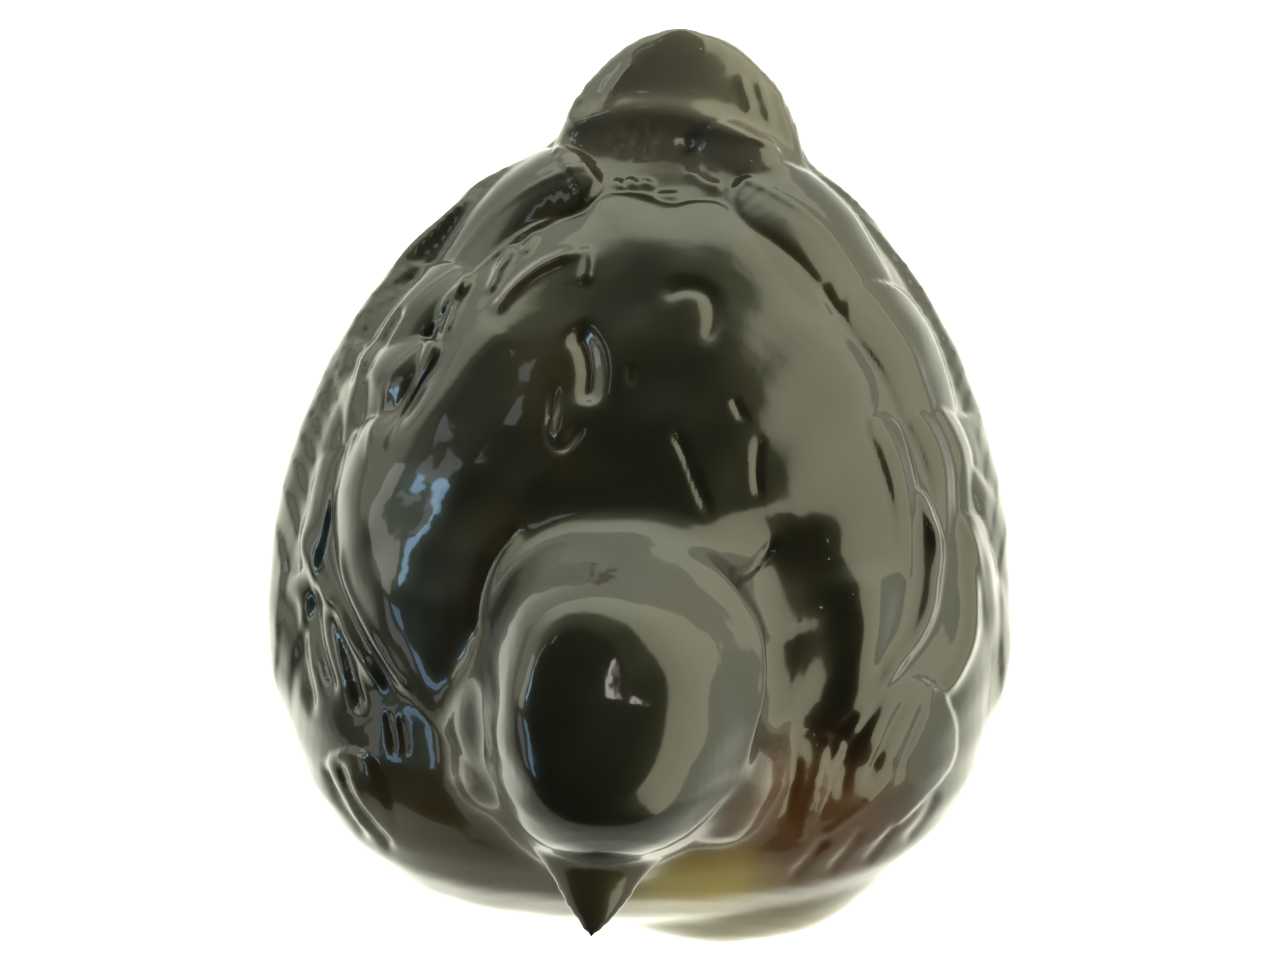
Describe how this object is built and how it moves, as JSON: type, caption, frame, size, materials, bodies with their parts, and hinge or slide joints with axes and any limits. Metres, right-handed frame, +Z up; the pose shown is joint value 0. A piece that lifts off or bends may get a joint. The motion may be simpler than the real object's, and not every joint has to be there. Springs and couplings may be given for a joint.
{
  "type": "bird figurine",
  "caption": "Plump glazed porcelain songbird sitting on a flat foot, with carved feathers, a short cone beak and a short round tail.",
  "frame": {"origin": "middle of the flat foot, on the surface the bird stands on", "axes": "+Z up, +Y towards the tail, beak towards -Y, +X to the bird's left"},
  "size_m": [0.07, 0.0857, 0.059],
  "materials": {
    "glaze": "high-gloss dark olive glaze, brown, ochre and cream on the breast"
  },
  "bodies": {
    "root": {"bird": "glaze"}
  },
  "joints": []
}
